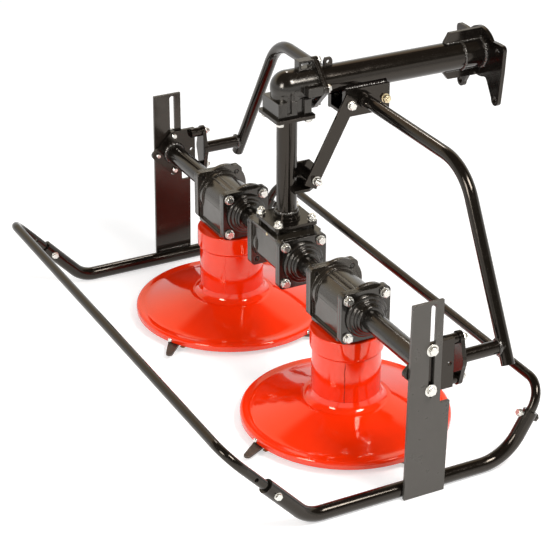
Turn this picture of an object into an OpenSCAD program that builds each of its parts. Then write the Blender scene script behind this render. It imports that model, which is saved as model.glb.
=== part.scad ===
// Two-drum rotary mower for a walk-behind tractor.
// X runs along the crossbeam (+X is the operator's left), -Y is the mowing direction, +Z is up.
// The origin is on the ground at the middle of the machine.

/* [Overall places] */
// Distance between the two rotor axes
rotor_spacing = 490; // [460:5:540]
// Height of the crossbeam's axis over the ground
beam_z = 258; // [250:1:290]
// Height of the drive tube's axis over the ground
drive_z = 594; // [560:1:640]
// Distance from the crossbeam back to the hitch flange's front face
hitch_reach = 427; // [400:1:500]
// Clearance between the circle that the straight knives sweep and the side rails
knife_clear = 5; // [5:1:45]

/* [Rotors] */
// Outer diameter of each disc
disc_d = 404; // [370:2:420]
// Thickness of the disc's sheet
disc_t = 4; // [3:0.5:5]
// Height of the disc's lip edge over the ground
lip_z = 14; // [12:1:18]
// Height of the disc's outer lip
lip_h = 14; // [10:1:18]
// Height over the ground of the disc's raised centre
hub_z = 56; // [50:1:64]
// Outer diameter of each drum
drum_d = 132; // [120:1:150]
// Wall of each drum
drum_wall = 4; // [3:0.5:6]
// How far the collar on top of the drum stands out
collar_out = 4; // [2:0.5:6]
// Height of the collar on top of the drum
collar_h = 38; // [20:1:50]
// Diameter of the sloped foot ring of the drum
foot_d = 168; // [154:1:180]
// Height of the sloped foot ring
foot_h = 18; // [12:1:26]
// Diameter of the rotor's shaft
shaft_d = 26; // [20:1:32]
// Gap between the drum's top and the gearbox above it
drum_gap = 5; // [5:0.5:8]

/* [Knives] */
// Knives on each disc
knife_count = 4; // [2:1:4]
// Length of a knife from its pin to its tip
knife_l = 70; // [60:1:76]
// Width of a knife at its root
knife_w = 24; // [18:1:30]
// Width of a knife at its tip
knife_tip_w = 14; // [10:1:18]
// Thickness of a knife
knife_t = 4; // [3:0.5:5]
// Distance of the knife pins from the disc's edge
knife_inset = 16; // [13:1:20]
// How far the two knives in front have swung on their pins from straight out
knife_swing = 28; // [15:1:50]
// How far the other knives have swung in under the disc
knife_folded = 122; // [115:1:135]
// How far the right rotor's knives are turned against the left rotor's
knife_phase = 65; // [25:1:65]
// Diameter of a knife pin
knife_pin_d = 8; // [6:0.5:10]

/* [Skid dishes] */
// Diameter of the free-turning skid dish under each disc
skid_d = 250; // [200:5:270]
// Thickness of the skid dish's sheet
skid_t = 4; // [3:0.5:5]
// Height of the skid dish's turned-up edge
skid_h = 9; // [7:0.5:9]
// Diameter of the skid dish's bearing hub
skid_hub_d = 60; // [50:1:80]
// Height of the skid dish's bearing hub
skid_hub_h = 26; // [20:1:32]

/* [Gearboxes] */
// Side of the square end plates
plate_w = 102; // [98:1:110]
// Thickness of each end plate and of each housing flange
plate_t = 8; // [6:0.5:10]
// Corner radius of the end plates
plate_r = 10; // [6:1:16]
// Spacing of the end plates' bolts
plate_bolts = 76.5; // [70:0.5:80]
// Diameter of the bolt holes in plates and flanges
bolt_hole_d = 10.5; // [8:0.5:12]
// Length of each gearbox over its end plates
gearbox_l = 136; // [130:1:150]
// Depth of the gearbox bodies, front to back
body_w = 90; // [84:1:94]

/* [Tubes] */
// Diameter of the crossbeam's tubes
beam_tube_d = 40; // [36:1:44]
// Diameter of the upright column
column_d = 40; // [36:1:44]
// Diameter of the drive tube
drive_tube_d = 57; // [54:1:62]
// Wall of the drive tube
drive_wall = 4; // [3:0.5:6]
// Diameter of the arms and guard bars
guard_d = 25; // [22:1:28]
// Diameter of the side rails
rail_d = 28; // [26:1:30]
// Diameter of the front and rear hoops, which slide into the side rails
hoop_d = 18; // [16:0.5:20]
// Clearance between a hoop and the side rail it slides into
hoop_gap = 0.3; // [0.2:0.05:0.4]
// Diameter of the holes for the bolts that hold the hoops
hoop_bolt_d = 8; // [6:0.5:9]

/* [Hoop] */
// Distance from the crossbeam forward to the front bar
front_reach = 385; // [360:5:420]
// Height of the front bar
front_z = 181; // [160:1:200]
// Distance from the crossbeam back to the rear bar
rear_reach = 257; // [245:1:275]
// Height of the rear bar
rear_z = 146; // [138:1:165]
// Distance from the crossbeam forward to where the rails turn up
rail_front = 229; // [215:1:240]
// Distance from the crossbeam back to where the rails turn up
rail_rear = 181; // [170:1:190]
// Bend radius of the hoops' corners
hoop_bend = 46; // [36:1:48]

/* [Guards and brackets] */
// Thickness of the end brackets
bracket_t = 8; // [6:0.5:10]
// Height of the end brackets
bracket_h = 98; // [92:1:106]
// Spacing of the bolts that hold swath plates and arms
bracket_bolts = 80; // [70:1:84]
// Thickness of the swath plates
swath_t = 6; // [4:0.5:8]
// Height of the swath plates' top edge
swath_top = 392; // [370:1:420]
// Thickness of the strut
strut_t = 5; // [4:0.5:8]
// Width of the strut
strut_w = 28; // [24:1:34]
// Bend radius of the guard bars
guard_bend = 108; // [80:2:150]

/* [Hitch] */
// Thickness of the hitch flange
hitch_t = 8; // [6:1:12]
// Width of the hitch flange
hitch_w = 168; // [156:1:180]
// Spacing of the hitch flange's holes across the machine
hitch_hole_x = 124; // [114:1:130]
// Spacing of the hitch flange's holes up and down
hitch_hole_z = 100; // [92:1:106]
// Diameter of the hitch flange's holes
hitch_hole_d = 13; // [10:0.5:15]
// Diameter of the input shaft's free end
input_d = 22; // [18:1:26]
// How far the input shaft stands out behind the hitch flange
input_out = 14; // [10:1:24]

/* [Hidden] */
$fn = 48;
black = "#1c1b1a";
red = "#e8260c";
steel = "#8a8378";
zinc = "#c9c9c4";

bend_thin = 0.1;                                  // how much thinner a bar is in its bends
bend_lap = 0.6;                                   // how far a bend runs into the straight beside it
run_gap = 0.3;                                    // clearance of turning parts in their bearings
hitch_y = hitch_reach + hitch_t;
beam_y = (front_reach + hoop_d / 2 - hitch_y - input_out) / 2;   // puts the origin at the middle of the length
rotor_x = rotor_spacing / 2;
knife_reach = disc_d / 2 - knife_inset + knife_l;     // radius that a straight knife sweeps
half_width = rotor_x + knife_reach + knife_clear + rail_d + swath_t;
body_l = gearbox_l - 4 * plate_t;                 // gearbox body between its housing flanges
gearbox_end = gearbox_l / 2;
housing_z = beam_z - plate_w / 2;                 // underside of the gearboxes
drum_top = housing_z - drum_gap;
swath_x = half_width - swath_t;                   // inner face of the swath plates
bracket_x = swath_x - bracket_t;                  // inner face of the end brackets
rail_x = swath_x - rail_d / 2;
arm_x = bracket_x - bracket_t / 2;
elbow_z = drive_z - 49;                           // underside of the elbow's box
column_gap = 10;                                  // between the gearbox's lid and the column's flange
column_foot = beam_z + plate_w / 2 + column_gap;
seat_l = 13;
shaft_in = 30;                                    // how far a rotor's shaft reaches into its gearbox

// ---- shared shapes ----

// Everything is drawn about the crossbeam's axis and moved to the origin by this
module placed() translate([0, beam_y, 0]) children();

// Outline in (y, z) with its thickness along +X
module x_plate(t) rotate([90, 0, 90]) linear_extrude(t) children();

// Outline in (x, z) with its thickness along +Y
module y_plate(t) translate([0, t, 0]) rotate([90, 0, 0]) linear_extrude(t) children();

module x_rod(d, l) rotate([0, 90, 0]) cylinder(d = d, h = l);
module y_rod(d, l) rotate([-90, 0, 0]) cylinder(d = d, h = l);

// Rectangle with round corners
module soft_rectangle(w, h, r) {
    square([w - 2 * r, h], center = true);
    square([w, h - 2 * r], center = true);
    for (sx = [-1, 1], sy = [-1, 1])
        translate([sx * (w / 2 - r), sy * (h / 2 - r)]) circle(r);
}

// Four circles on a square pattern
module four_holes(spacing, d) {
    for (sx = [-1, 1], sy = [-1, 1])
        translate([sx * spacing / 2, sy * spacing / 2]) circle(d = d);
}

function unit(v) = v / norm(v);
function bend_angle(u, v) = acos(max(-1, min(1, u * v)));

// Round bar through points, with a bend radius for each inner point.
// The bends are drawn a hair thinner, as in real bent tube, and run a little way into the straights.
module bent_bar(points, d, radii) {
    last = len(points) - 1;
    dirs = [for (i = [0:last - 1]) unit(points[i + 1] - points[i])];
    setback = [for (i = [0:last])
        i == 0 || i == last ? 0 : radii[i - 1] * tan(bend_angle(dirs[i - 1], dirs[i]) / 2)];
    for (i = [0:last - 1])
        along(points[i] + dirs[i] * setback[i], dirs[i])
            cylinder(d = d, h = norm(points[i + 1] - points[i]) - setback[i] - setback[i + 1]);
    for (i = [1:last - 1]) {
        u = dirs[i - 1];
        v = dirs[i];
        r = radii[i - 1];
        extra = bend_lap / r * 57.3;
        axis = unit(cross(u, v));
        centre = points[i] + unit(v - u) * r / cos(bend_angle(u, v) / 2);
        start = unit(points[i] - u * setback[i] - centre);
        side = cross(axis, start);
        multmatrix([[start[0], side[0], axis[0], centre[0]],
                    [start[1], side[1], axis[1], centre[1]],
                    [start[2], side[2], axis[2], centre[2]],
                    [0, 0, 0, 1]])
            rotate([0, 0, -extra]) rotate_extrude(angle = bend_angle(u, v) + 2 * extra)
                translate([r, 0]) circle(d = d - bend_thin);
    }
}

// Moves +Z shapes to a point and turns them along a direction
module along(point, dir) {
    tilt = acos(dir[2]);
    turn = atan2(dir[1], dir[0]);
    translate(point) rotate([0, tilt, turn]) children();
}

// Square end plate of a gearbox, its thickness along +X
module end_plate() {
    x_plate(plate_t) difference() {
        soft_rectangle(plate_w, plate_w, plate_r);
        four_holes(plate_bolts, bolt_hole_d);
    }
}

// Stepped collar where a tube meets an end plate, along +X
module hub_steps() {
    x_rod(beam_tube_d * 2, 5);
    x_rod(beam_tube_d * 1.66, 10);
    x_rod(beam_tube_d * 1.35, 20);
}

// ---- crossbeam ----

flange_arch = [11, 9];                            // middle of the round part of the rotor gearboxes' flanges

// The two housing flanges of a gearbox, along X, centred on the axis.
// Arched ones rise over the end plates, and the right one bulges to the rear as well
module gearbox_flanges(arched) {
    for (side = [0, 1]) mirror([side, 0, 0]) translate([body_l / 2, 0, 0]) x_plate(plate_t) difference() {
        union() {
            soft_rectangle(plate_w, plate_w, plate_r);
            if (arched) difference() {
                translate(flange_arch) circle(d = plate_w - 4);
                if (side == 0) translate([plate_w / 2, -plate_w]) square(2 * plate_w);
            }
        }
        four_holes(plate_bolts, bolt_hole_d);
    }
}

// Bearing seat that stands out of the gearbox body beside its flange
module bearing_seat() {
    translate([-body_l / 2, 0, 0]) x_rod(body_w + 7, seat_l);
}

// Outline of a gearbox body across the crossbeam: a box with an arched top or bottom
module body_outline(low, high) {
    circle(d = body_w);
    translate([-body_w / 2, low]) square([body_w, high - low]);
}

module centre_housing() {
    color(black) placed() translate([0, 0, beam_z]) {
        gearbox_flanges(false);
        translate([-body_l / 2, 0, 0]) x_plate(body_l) body_outline(-15, plate_w / 2 - 6);
        bearing_seat();
        translate([0, 0, plate_w / 2 - 6]) linear_extrude(6) soft_rectangle(body_l, body_w + 10, 5);
        translate([0, 0, plate_w / 2]) cylinder(d = 74, h = column_gap);
    }
}

module rotor_housing() {
    color(black) placed() difference() {
        translate([rotor_x, 0, beam_z]) {
            gearbox_flanges(true);
            translate([-body_l / 2, 0, 0]) x_plate(body_l) body_outline(-plate_w / 2, 4);
            translate([0, 0, -plate_w / 2]) linear_extrude(6) soft_rectangle(body_l, body_w + 10, 5);
            bearing_seat();
            translate([-body_l / 2, -22, body_w / 2 - 7]) cube([body_l, 5, 4]);
            translate([-body_l / 2, -12, body_w / 2 - 4]) cube([body_l, 5, 4]);
        }
        translate([rotor_x, 0, housing_z - 1]) cylinder(d = shaft_d + 2 * run_gap, h = shaft_in + 11);
    }
}

module beam_link() {
    start = gearbox_end - plate_t;
    end = rotor_x - gearbox_end;
    color(black) placed() translate([0, 0, beam_z]) {
        translate([start, 0, 0]) end_plate();
        translate([start + plate_t, 0, 0]) hub_steps();
        translate([start + plate_t, 0, 0]) x_rod(beam_tube_d, end - start - plate_t);
        translate([end, 0, 0]) end_plate();
        translate([end, 0, 0]) mirror([1, 0, 0]) hub_steps();
    }
}

module end_tube() {
    start = rotor_x + gearbox_end - plate_t;
    color(black) placed() translate([0, 0, beam_z]) {
        translate([start, 0, 0]) end_plate();
        translate([start + plate_t, 0, 0]) hub_steps();
        translate([start + plate_t, 0, 0]) x_rod(beam_tube_d, bracket_x - start - plate_t);
    }
}

// ---- column, elbow and drive tube ----

column_flange = 92;
elbow_flange = 82;
elbow_body = 66;
elbow_d = 66;
neck_flange_y = 52;                               // front face of the elbow's rear flange
neck_t = 5;
neck_flange = 78;                                 // side of the square neck flange, which stands on a corner
neck_bolts = 60;

module column() {
    color(black) placed() {
        translate([0, 0, column_foot]) linear_extrude(7) difference() {
            soft_rectangle(column_flange, column_flange, 8);
            four_holes(73, bolt_hole_d);
        }
        translate([0, 0, column_foot + 7]) cylinder(d = column_d + 14, h = 6);
        translate([0, 0, column_foot + 13]) cylinder(d = column_d + 8, h = 8);
        translate([0, 0, column_foot + 7]) cylinder(d = column_d, h = elbow_z - column_foot - 14);
        translate([0, 0, elbow_z - 7]) linear_extrude(7) difference() {
            soft_rectangle(elbow_flange, elbow_flange, 5);
            four_holes(60, bolt_hole_d);
        }
    }
}

lug_t = 6;
lug_x = 34;                                       // inner face of the strut
lug_z = 386;
lug_h = 50;
lug_y = 57;
strut_low = [44, 408];
strut_high = [118, drive_z - 45];

module strut_lug() {
    color(black) placed() difference() {
        union() {
            translate([-lug_t / 2, 0, 0]) x_plate(lug_t)
                polygon([[0, lug_z], [lug_y - 4, lug_z], [lug_y, lug_z + 6], [lug_y, lug_z + lug_h - 7],
                         [lug_y - 7, lug_z + lug_h], [0, lug_z + lug_h]]);
            translate([0, 0, lug_z]) linear_extrude(lug_t)
                polygon([[-lug_x, 0], [lug_x, 0], [lug_x, 32], [lug_x - 8, 44], [8 - lug_x, 44], [-lug_x, 32]]);
            translate([0, strut_low[0], strut_low[1]]) x_rod(20, lug_x);
        }
        translate([-lug_x - 1, strut_low[0], strut_low[1]]) x_rod(bolt_hole_d, 2 * lug_x + 2);
        cylinder(d = column_d, h = drive_z);
    }
}

lift = drive_z - elbow_z;                         // height of the elbow's axis over its foot
box_h = 31;

// Boss for one of the neck flange's bolts
module neck_boss() {
    translate([-9, neck_flange_y - 32, elbow_d / 2 - 8]) cube([18, 32, 24]);
}

// Window in that boss, from which the nut is reached
module boss_window() {
    translate([-10, neck_flange_y - 27, elbow_d / 2 + 1]) cube([20, 22, 11]);
}

module elbow_housing() {
    color(black) placed() translate([0, 0, drive_z]) difference() {
        union() {
            translate([-elbow_body / 2, -elbow_body / 2 - 2, -lift]) cube([elbow_body, elbow_body + 4, box_h]);
            translate([0, 0, -lift]) cylinder(d = elbow_d - 2, h = lift);
            sphere(d = elbow_d);
            y_rod(elbow_d, neck_flange_y);
            for (turn = [-90, 0, 90]) rotate([0, turn, 0]) neck_boss();
            translate([0, neck_flange_y, 0]) y_plate(neck_t) rotate(45) soft_rectangle(neck_flange, neck_flange, 9);
        }
        for (turn = [-90, 0, 90]) rotate([0, turn, 0]) boss_window();
        for (turn = [0, 90, 180, 270]) rotate([0, turn, 0])
            translate([0, neck_flange_y - 12, neck_bolts / sqrt(2)]) y_rod(bolt_hole_d, 30);
        for (side = [-1, 1]) translate([side * elbow_body / 2, 0, -lift]) {
            translate([-6, 5, -1]) cube([12, 15, box_h + 2]);
            translate([-4, -16, 7]) cube([8, 9, box_h]);
        }
    }
}

module drive_tube() {
    start = neck_flange_y + neck_t;
    length = hitch_reach - start;
    color(black) placed() translate([0, start, drive_z]) difference() {
        union() {
            y_plate(neck_t) rotate(45) difference() {
                soft_rectangle(neck_flange, neck_flange, 9);
                four_holes(neck_bolts, bolt_hole_d);
            }
            y_rod(drive_tube_d, length);
            translate([-3, 20, drive_tube_d / 2 - 4]) x_plate(6) difference() {
                polygon([[0, 0], [0, 14], [3, 20], [15, 20], [18, 14], [18, 0]]);
                translate([9, 12]) circle(d = 8);
            }
        }
        translate([0, length - claw_l - 3, 0]) y_rod(drive_tube_d - 2 * drive_wall, claw_l + 4);
        translate([0, length - journal_l, 0]) y_rod(journal_d + 2 * run_gap, journal_l + 1);
    }
}

claw_l = 17;
journal_l = 60;                                   // length of the input shaft inside the drive tube
journal_d = input_d + 6;

hitch_top = 34;                                   // shoulders of the hitch flange over the axis
hitch_hump = 102;                                 // diameter of the hump around the drive tube
hitch_hole_top = 18;                              // upper holes over the axis
hitch_tip_r = 12;                                 // rounding of the two feet around their holes
hitch_waist = 47;                                 // edge between the feet, below the axis
rib_l = 84;
rib_heights = [22, 18];                           // of the ribs over and under the drive tube

module hitch_outline() {
    w = hitch_w / 2;
    hx = hitch_hole_x / 2;
    low = hitch_hole_top - hitch_hole_z;
    difference() {
        union() {
            circle(d = hitch_hump);
            for (side = [0, 1]) mirror([side, 0]) {
                polygon([[0, hitch_top - 4], [w - 26, hitch_top], [w - 9, hitch_top], [w, hitch_top - 9],
                         [w - 3, -20], [hx + hitch_tip_r, low], [hx - hitch_tip_r, low],
                         [32, -hitch_waist - 6], [27, -hitch_waist], [0, -hitch_waist]]);
                translate([hx, low]) circle(r = hitch_tip_r);
                translate([w - 9, hitch_top - 9]) circle(r = 9);
            }
        }
        circle(d = drive_tube_d - 2 * drive_wall);
        for (side = [-1, 1], z = [hitch_hole_top, low])
            translate([side * hx, z]) circle(d = hitch_hole_d);
    }
}

module hitch_flange() {
    color(black) placed() translate([0, hitch_reach, drive_z]) {
        y_plate(hitch_t) hitch_outline();
        difference() {
            for (side = [0, 1]) mirror([0, 0, side]) translate([-4, 0, drive_tube_d / 2]) x_plate(8)
                polygon([[0, -4], [0, rib_heights[side]], [-rib_l + 11, rib_heights[side] - 1], [-rib_l, 3],
                         [-rib_l, -4]]);
            translate([0, -rib_l - 1, 0]) y_rod(drive_tube_d, rib_l + 1);
        }
    }
}

saddle_y = 107;
saddle_l = 97;
saddle_x = 28;                                    // outer faces of the saddle's cheeks
saddle_h = 52;
saddle_drop = 68;                                 // underside of the saddle below the drive tube's axis
saddle_z = drive_z - saddle_drop;
saddle_bolts = 77;                                // spacing of the bolts through the saddle and the guards' feet
foot_t = 6;                                       // plate at the upper end of each guard bar
foot_plate_h = 55;

module saddle() {
    color(black) placed() difference() {
        translate([-saddle_x, saddle_y, saddle_z]) cube([2 * saddle_x, saddle_l, saddle_h]);
        translate([-saddle_x + 6, saddle_y - 1, saddle_z + 6]) cube([2 * saddle_x - 12, saddle_l + 2, saddle_h]);
        translate([0, saddle_y - 1, drive_z]) y_rod(drive_tube_d, saddle_l + 2);
        for (y = [strut_high[0], strut_high[0] + saddle_bolts])
            translate([-saddle_x - 1, y, strut_high[1]]) x_rod(bolt_hole_d, 2 * saddle_x + 2);
    }
}

strut_shift = 6;                                  // the strut's bolts sit off its middle line

module strut() {
    dir = strut_high - strut_low;
    color(black) placed() translate([lug_x, strut_low[0], strut_low[1]]) x_plate(strut_t)
        rotate(atan2(dir[1], dir[0])) difference() {
            translate([-16, strut_shift - strut_w / 2]) square([norm(dir) + 32, strut_w]);
            circle(d = bolt_hole_d);
            translate([norm(dir), 0]) circle(d = bolt_hole_d);
        }
}

// ---- end brackets, arms and guards ----

module end_bracket() {
    h = bracket_h / 2;
    color(black) placed() translate([0, 0, beam_z]) {
        translate([bracket_x, 0, 0]) x_plate(bracket_t) difference() {
            union() {
                polygon([[50, h], [-6, h], [-46, 9], [-46, -9], [-6, -h], [50, -h]]);
                translate([-41, 0]) circle(d = 20);
            }
            for (z = [-1, 1]) translate([0, z * bracket_bolts / 2]) circle(d = bolt_hole_d);
            translate([-38, 0]) circle(d = bolt_hole_d - 1);
            translate([42, 0]) circle(d = bolt_hole_d - 2);
        }
        for (z = [-1, 1]) translate([arm_x, 38, z * bracket_bolts / 2]) y_rod(20, arm_y - 38);
    }
}

arm_y = 62;
guard_y = 161.5;
guard_end = [saddle_x + foot_t - 3.5, 149, drive_z - 39.5];
guard_drop = 54;                                  // upper corner of the guard bars below the drive tube's axis
guard_top = [359, 167, drive_z - guard_drop];
guard_foot_z = beam_z - 31;
guard_at_arm = [arm_x, guard_y, beam_z];
guard_slope = (guard_at_arm - guard_top) / (guard_at_arm[2] - guard_top[2]);
guard_foot = guard_at_arm + guard_slope * (guard_foot_z - beam_z);

guard_dir = unit(guard_top - guard_end);

module guard_bar() {
    bent_bar([guard_end, guard_top, guard_foot], guard_d, [guard_bend]);
}

module arm() {
    color(black) placed() difference() {
        union() {
            translate([arm_x, arm_y, beam_z]) y_plate(8) difference() {
                union() {
                    circle(d = 46);
                    for (z = [-1, 1]) translate([0, z * bracket_bolts / 2]) circle(d = 26);
                    polygon([[-23, 0], [-13, 40], [13, 40], [23, 0], [13, -40], [-13, -40]]);
                }
                for (z = [-1, 1]) translate([0, z * bracket_bolts / 2]) circle(d = bolt_hole_d);
            }
            translate([arm_x, arm_y + 8, beam_z]) y_rod(guard_d, guard_y - arm_y - 11);
        }
        guard_bar();
    }
}

module guard() {
    color(black) placed() {
        guard_bar();
        translate([saddle_x, 0, 0]) x_plate(foot_t) difference() {
            translate([saddle_y, saddle_z - 2]) square([saddle_l, foot_plate_h]);
            for (y = [strut_high[0], strut_high[0] + saddle_bolts]) translate([y, strut_high[1]]) circle(d = bolt_hole_d);
        }
        along(guard_end + guard_dir * 3.5, guard_dir) cylinder(d = guard_d + 7, h = 12);
    }
}

slot_w = 11.5;
slot_low = 208;
swath_step = 187;                                 // height at which the plate widens

module swath_plate() {
    color(black) placed() translate([swath_x, 0, 0]) x_plate(swath_t) difference() {
        polygon([[-41, swath_top], [21, swath_top], [21, swath_step], [41, swath_step], [38, 2], [-45, 2]]);
        for (z = [slot_low, swath_top - 11]) translate([1, z]) circle(d = slot_w);
        translate([1 - slot_w / 2, slot_low]) square([slot_w, swath_top - 11 - slot_low]);
    }
}

// ---- rails and hoops ----

rail_z = rail_d / 2;
front_leg = 121;                                  // length of the rails' turned-up ends, from the corner
rear_leg = 102;
leg_dir = unit([0, rail_front - front_reach, front_z - rail_z]);
front_bend = [rail_x, -rail_front, rail_z];
front_mouth = front_bend + leg_dir * front_leg;
rear_turn = [rail_x, rail_rear, rail_z];
rear_dir = unit([0, rear_reach - rail_rear, rear_z - rail_z]);
rear_mouth = rear_turn + rear_dir * rear_leg;
hoop_in = 36;                                     // how far a hoop sits inside its side rail

function flip(p) = [-p[0], p[1], p[2]];

// Blind bore in the mouth of a side rail
module sleeve_bore(mouth, dir) {
    along(mouth - dir * hoop_in, dir) cylinder(d = hoop_d + 2 * hoop_gap, h = hoop_in + 1);
}

// Holes of the bolts that hold the front hoop, with a second pair further out to adjust it
module front_bolt_holes() {
    for (side = [-1, 1], reach = [-25, 31])
        translate([side * rail_x - rail_d, front_mouth[1], front_mouth[2]] + leg_dir * reach)
            x_rod(hoop_bolt_d, 2 * rail_d);
}

// Holes of the bolts that hold the rear hoop, square to the rails
module rear_bolt_holes() {
    pin_dir = [0, rear_dir[2], -rear_dir[1]];
    for (side = [-1, 1])
        along([side * rail_x, rear_mouth[1], rear_mouth[2]] - rear_dir * 10 - pin_dir * rail_d, pin_dir)
            cylinder(d = hoop_bolt_d, h = 2 * rail_d);
}

module side_rail() {
    color(black) placed() difference() {
        bent_bar([front_mouth, front_bend, rear_turn, rear_mouth], rail_d, [60, 90]);
        sleeve_bore(front_mouth, leg_dir);
        sleeve_bore(rear_mouth, rear_dir);
        front_bolt_holes();
        rear_bolt_holes();
    }
}

module front_hoop() {
    start = front_mouth - leg_dir * (hoop_in - 0.5);
    corner = [rail_x, -front_reach, front_z];
    color(black) placed() difference() {
        bent_bar([start, corner, flip(corner), flip(start)], hoop_d, [hoop_bend, hoop_bend]);
        front_bolt_holes();
    }
}

module rear_hoop() {
    start = rear_mouth - rear_dir * (hoop_in - 0.5);
    corner = [rail_x, rear_reach, rear_z];
    color(black) placed() difference() {
        bent_bar([start, corner, flip(corner), flip(start)], hoop_d, [hoop_bend, hoop_bend]);
        rear_bolt_holes();
    }
}

// ---- rotors ----

lip_top = lip_z + lip_h;
disc_r = disc_d / 2;

module disc() {
    color(red) placed() translate([rotor_x, 0, 0]) rotate_extrude() polygon([
        [shaft_d / 2, hub_z - 6], [foot_d / 2, hub_z - 6], [disc_r - 16, lip_top - 3 - disc_t],
        [disc_r - disc_t, lip_top - disc_t - 2], [disc_r - disc_t, lip_z + disc_t], [disc_r - 26, lip_z + disc_t],
        [disc_r - 26, lip_z], [disc_r, lip_z], [disc_r, lip_top - 5], [disc_r - 4, lip_top], [disc_r - 10, lip_top],
        [disc_r - 16, lip_top - 3], [foot_d / 2, hub_z - 2], [foot_d / 2 - 2, hub_z], [shaft_d / 2, hub_z]]);
}

module drum() {
    r = drum_d / 2;
    color(red) placed() translate([rotor_x, 0, 0]) rotate_extrude() polygon([
        [r - drum_wall, hub_z], [foot_d / 2 - 2, hub_z],
        for (turn = [0:18:90]) [foot_d / 2 - (foot_d / 2 - r) * sin(turn), hub_z + foot_h - (foot_h - 3) * cos(turn)],
        [r, drum_top - collar_h], [r + collar_out, drum_top - collar_h], [r + collar_out, drum_top],
        [shaft_d / 2, drum_top], [shaft_d / 2, drum_top - 6], [r - drum_wall, drum_top - 6]]);
}

knife_z = lip_z - knife_t - 1;

module knives(first) {
    pin_r = disc_r - knife_inset;
    color(steel) placed() translate([rotor_x, 0, 0]) for (i = [0:knife_count - 1])
        rotate(first + i * 360 / knife_count) translate([pin_r, 0, 0]) {
            translate([0, 0, knife_z - 3]) cylinder(d = knife_pin_d + 6, h = 3);
            translate([0, 0, knife_z]) cylinder(d = knife_pin_d, h = lip_z - knife_z);
            rotate(i < 2 ? knife_swing : knife_folded) translate([0, 0, knife_z]) linear_extrude(knife_t) {
                polygon([[-10, -knife_w / 2], [12, -knife_w / 2], [knife_l - knife_tip_w, -knife_tip_w / 2],
                         [knife_l - knife_tip_w, knife_tip_w / 2], [12, knife_w / 2], [-10, knife_w / 2]]);
                translate([knife_l - knife_tip_w, 0]) circle(d = knife_tip_w);
            }
        }
}

module rotor_shaft() {
    color(steel) placed() translate([rotor_x, 0, 10]) cylinder(d = shaft_d, h = housing_z + shaft_in - 10);
}

module skid_dish() {
    r = skid_d / 2;
    color(steel) placed() translate([rotor_x, 0, 0]) rotate_extrude() polygon([
        [0, 0], [r - 12, 0], [r, skid_h - skid_t], [r, skid_h], [r - 12, skid_t], [skid_hub_d / 2, skid_t],
        [skid_hub_d / 2, skid_hub_h], [shaft_d / 2 + run_gap, skid_hub_h], [shaft_d / 2 + run_gap, 8], [0, 8]]);
}

module input_shaft() {
    claw_end = hitch_reach;
    color(steel) placed() translate([0, 0, drive_z]) {
        translate([0, claw_end - journal_l + 2, 0]) y_rod(journal_d, journal_l - claw_l - 2);
        translate([0, claw_end - claw_l, 0]) y_rod(drive_tube_d - 2 * drive_wall - 11, claw_l);
        translate([0, claw_end, 0]) y_rod(input_d, hitch_t + input_out);
    }
}

centre_housing();
beam_link();  // beam_link_left
mirror([1, 0, 0]) beam_link();  // beam_link_right
column();
strut_lug();
elbow_housing();
drive_tube();
hitch_flange();
saddle();
strut();
rotor_housing();  // rotor_housing_left
translate([-rotor_spacing, 0, 0]) rotor_housing();  // rotor_housing_right
end_tube();  // end_tube_left
mirror([1, 0, 0]) end_tube();  // end_tube_right
end_bracket();  // end_bracket_left
mirror([1, 0, 0]) end_bracket();  // end_bracket_right
arm();  // arm_left
mirror([1, 0, 0]) arm();  // arm_right
guard();  // guard_left
mirror([1, 0, 0]) guard();  // guard_right
swath_plate();  // swath_plate_left
mirror([1, 0, 0]) swath_plate();  // swath_plate_right
side_rail();  // side_rail_left
mirror([1, 0, 0]) side_rail();  // side_rail_right
front_hoop();
rear_hoop();
drum();  // drum_left
mirror([1, 0, 0]) drum();  // drum_right
disc();  // disc_left
mirror([1, 0, 0]) disc();  // disc_right
knives(-85);  // knives_left
translate([-rotor_spacing, 0, 0]) knives(-knife_phase);  // knives_right
rotor_shaft();  // rotor_shaft_left
mirror([1, 0, 0]) rotor_shaft();  // rotor_shaft_right
skid_dish();  // skid_dish_left
mirror([1, 0, 0]) skid_dish();  // skid_dish_right
input_shaft();
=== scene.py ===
import bpy, bmesh, math
from mathutils import Matrix, Vector, noise


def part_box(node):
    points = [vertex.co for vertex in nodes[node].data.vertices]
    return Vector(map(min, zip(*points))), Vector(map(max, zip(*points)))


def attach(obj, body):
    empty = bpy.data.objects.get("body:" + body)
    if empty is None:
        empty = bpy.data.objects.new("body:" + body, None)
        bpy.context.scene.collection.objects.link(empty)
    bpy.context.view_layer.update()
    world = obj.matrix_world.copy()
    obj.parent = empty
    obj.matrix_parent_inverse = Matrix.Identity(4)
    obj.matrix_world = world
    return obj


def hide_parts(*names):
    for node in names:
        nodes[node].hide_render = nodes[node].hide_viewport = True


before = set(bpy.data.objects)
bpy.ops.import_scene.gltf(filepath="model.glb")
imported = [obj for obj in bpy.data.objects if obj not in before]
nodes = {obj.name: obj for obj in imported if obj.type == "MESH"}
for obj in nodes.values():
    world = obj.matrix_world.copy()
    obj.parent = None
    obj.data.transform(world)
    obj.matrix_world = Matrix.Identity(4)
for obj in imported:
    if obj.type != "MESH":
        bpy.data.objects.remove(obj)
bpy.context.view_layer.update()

print("frame loaded:", len(nodes), "nodes")


def middle(node, axis):
    low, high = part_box(node)
    return (low[axis] + high[axis]) / 2


beamY = middle("column", 1)
beamZ = middle("beam_link_left", 2)
driveZ = middle("input_shaft", 2)
rotorX = middle("drum_left", 0)


def spot(x, y, z):  # millimetres from the crossbeam's axis, on the ground
    return Vector((x / 1000, y / 1000 + beamY, z / 1000))


def frameAt(place, direction):  # matrix that takes +Z to a direction at a place
    return Matrix.Translation(place) @ Vector(direction).to_track_quat("Z", "Y").to_matrix().to_4x4()


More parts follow.
